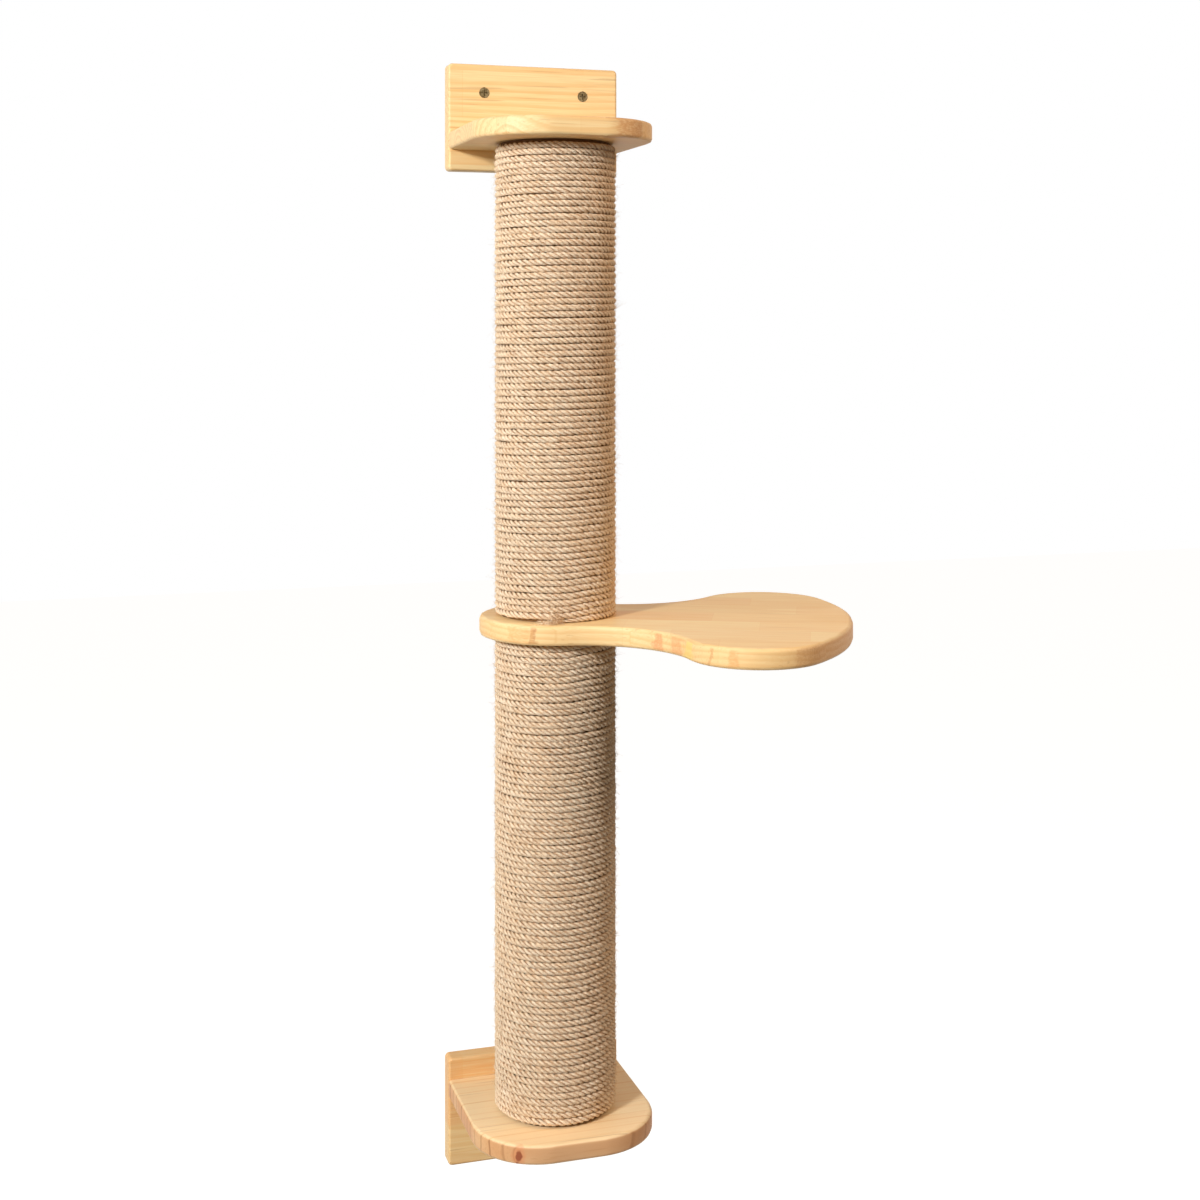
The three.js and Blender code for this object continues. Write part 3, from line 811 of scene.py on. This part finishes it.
def smooth_group():
    """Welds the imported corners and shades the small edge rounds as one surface."""
    group = bpy.data.node_groups.new("smooth_rounds", "GeometryNodeTree")
    group.interface.new_socket("Geometry", in_out="INPUT", socket_type="NodeSocketGeometry")
    group.interface.new_socket("Geometry", in_out="OUTPUT", socket_type="NodeSocketGeometry")
    make = group.nodes.new
    start, end = make("NodeGroupInput"), make("NodeGroupOutput")
    weld = make("GeometryNodeMergeByDistance")
    weld.inputs["Distance"].default_value = WELD_DISTANCE
    faces = make("GeometryNodeSetShadeSmooth")
    edges = make("GeometryNodeSetShadeSmooth")
    edges.domain = "EDGE"
    angle = make("GeometryNodeInputMeshEdgeAngle")
    small = make("FunctionNodeCompare")
    small.operation = "LESS_THAN"
    small.inputs["B"].default_value = math.radians(SMOOTH_EDGE_DEG)
    link = group.links.new
    link(start.outputs[0], weld.inputs["Geometry"])
    link(weld.outputs[0], faces.inputs["Geometry"])
    link(faces.outputs[0], edges.inputs["Geometry"])
    link(angle.outputs["Unsigned Angle"], small.inputs["A"])
    link(small.outputs[0], edges.inputs["Shade Smooth"])
    link(edges.outputs[0], end.inputs[0])
    return group


def dress(names, material, group):
    for name in names:
        node = nodes[name]
        node.data.materials.clear()
        node.data.materials.append(material)
        smooth = node.modifiers.new("smooth_rounds", "NODES")
        smooth.node_group = group
        weighted = node.modifiers.new("flat_faces", "WEIGHTED_NORMAL")
        weighted.keep_sharp = True
        weighted.weight = 100


def top_shelf_pine():
    """A front strip that turns orange and then brown towards the right, and pale wood behind it
    whose right half is darkened as painted shade.
    """
    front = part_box("top_shelf")[0].y
    glued_at = front + 0.016
    stains_and_shades = [
        (0.022, 0.2, front, glued_at, PINE_BROWN, 0.6),
        (-0.01, 0.022, front, glued_at, PINE_ORANGE, 0.35),
        # painted shade: the wood behind the front strip is darker on its right half
        (0.0, 0.2, glued_at, 0.0, PINE_LATE, 0.5),
    ]
    return pine("pine_shelf_top", "X", "Y", 2.0, glued_at=glued_at, stains_and_shades=stains_and_shades)


def bottom_shelf_pine():
    """One quarter-sawn board: straight lines on its faces, dark ones and a knot on its edge."""
    low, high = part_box("bottom_shelf")
    knot = ((-0.054, low.y + 0.0095, (low.z + high.z) / 2 - 0.001), 0.0042)
    return pine(
        "pine_shelf_bottom",
        "X",
        "Y",
        7.0,
        ring=0.0118,
        heart=(0.16, (low.z + high.z) / 2 - 0.02),
        late_line=(0.72, 0.9),
        tone=(linear(250, 222, 184), 0.55),
        edge=(linear(206, 144, 92), 0.8),
        edge_line=linear(140, 82, 44),
        knots=[knot],
    )


STEP_HEADING_DEG = -24.4  # from +X, the way that the step points away from the column


def step_pine():
    """Strips along the step, the front one a thin sliver, and coloured marks on the front edge; the
    brown one at the far end is painted shade.
    """
    marks = [
        (-0.015, -0.005, PINE_BROWN, 0.75),
        (-0.034, -0.013, PINE_ORANGE, 0.45),
        (0.098, 0.108, PINE_RED, 0.6),
        (0.113, 0.127, PINE_RED, 0.42),
        (0.127, 0.137, linear(238, 212, 112), 0.55),
        (0.15, 0.154, PINE_BROWN, 0.45),
        (0.166, 0.177, PINE_ORANGE, 0.6),
        # painted shade: the far end of the front edge turns darker brown
        (0.222, 0.3, PINE_BROWN, 0.35),
    ]
    front_half = (-0.2, 0.0)
    stains_and_shades = [(low, high, *front_half, color, amount) for low, high, color, amount in marks]
    return pine(
        "pine_step",
        "X",
        "Y",
        5.0,
        glued_at=-0.0689,
        joint_at=-0.006,
        block=0.12,
        heading=math.radians(STEP_HEADING_DEG),
        centre=(0, COLUMN_Y, 0),
        late_share=0.4,
        edge=(PINE_WARM, 0.3),
        edge_line=PINE_LATE,
        stains_and_shades=stains_and_shades,
    )


def dress_packed():
    group = smooth_group()
    dress(["top_wall_plate"], pine("pine_plate_top", "X", "Z", 1.0), group)
    # painted shade: an orange band across the plate's lower part, next to the bottom shelf
    painted_corner_shade = [(-0.2, 0.2, -0.96, -0.88, PINE_ORANGE, 0.55)]
    bottom_plate = pine("pine_plate_bottom", "X", "Z", 4.0, glued_at=-0.94, stains_and_shades=painted_corner_shade)
    dress(["bottom_wall_plate"], bottom_plate, group)
    dress(["top_shelf"], top_shelf_pine(), group)
    dress(["bottom_shelf"], bottom_shelf_pine(), group)
    dress(["step_board"], step_pine(), group)
    plugs = [name for name in nodes if "_plug_" in name]
    dress(plugs, pine("pine_plugs", "X", "Y", 9.0), group)
    dark = metal("dark_steel", linear(108, 90, 58), linear(158, 140, 104), 0.38, 0.55)
    zinc = metal("zinc_steel", linear(196, 198, 202), linear(168, 170, 176), 0.26, 0.42)
    dress([name for name in nodes if "wall_screw" in name], dark, group)
    bright = ("shelf_screw", "bolt", "washer", "insert", "stud")
    dress([name for name in nodes if any(word in name for word in bright)], zinc, group)
    dress(["upper_tube", "lower_tube"], cardboard(), group)


# ---------------------------------------------------------------- the scene

UPPER_TURNS, UPPER_START_DEG = 73.4, -101.0
LOWER_TURNS, LOWER_START_DEG = 73.7, 40.0
# How far the rope's ends keep from the boards: under the top shelf, on the step, under it and on
# the bottom shelf.
SHELF_GAP, STEP_GAP, UNDER_GAP, BOTTOM_GAP = 2.8 * MM, 0.45 * MM, 2.5 * MM, 2.2 * MM

make_camera()
for light_name, light_facts in LIGHTS.items():
    make_light(light_name, *light_facts)
make_world()
make_floor()
bpy.context.scene.view_settings.view_transform = "Standard"

dress_packed()
rope = rope_material(), hair_material()
shelf_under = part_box("top_shelf")[0].z - SHELF_GAP
step_under, step_over = (corner.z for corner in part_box("step_board"))
bottom_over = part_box("bottom_shelf")[1].z + BOTTOM_GAP
add_rope("upper", step_over + STEP_GAP, shelf_under, UPPER_TURNS, UPPER_START_DEG, 11, rope)
add_rope("lower", bottom_over, step_under - UNDER_GAP, LOWER_TURNS, LOWER_START_DEG, 31, rope)
